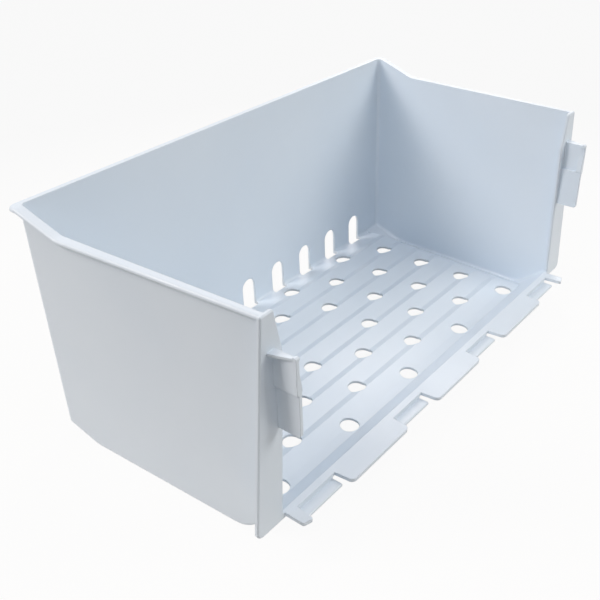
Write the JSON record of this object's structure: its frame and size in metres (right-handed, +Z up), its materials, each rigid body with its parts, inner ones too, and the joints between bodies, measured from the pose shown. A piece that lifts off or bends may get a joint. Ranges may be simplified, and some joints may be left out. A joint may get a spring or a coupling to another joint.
{
  "type": "fridge crisper drawer",
  "caption": "Moulded refrigerator drawer body, open at the top and front, with a draining floor, slotted back wall, turned-out rim and snap clips for a front panel.",
  "frame": {"origin": "middle of the box that holds the part, at the height of the runners' underside", "axes": "+X to the right seen from the open front, +Y to the back wall, +Z up"},
  "size_m": [0.4238, 0.225, 0.1875],
  "materials": {
    "drawer_plastic": "pale cool white moulded plastic with a satin gloss"
  },
  "bodies": {
    "root": {"drawer_body": "drawer_plastic"}
  },
  "joints": []
}
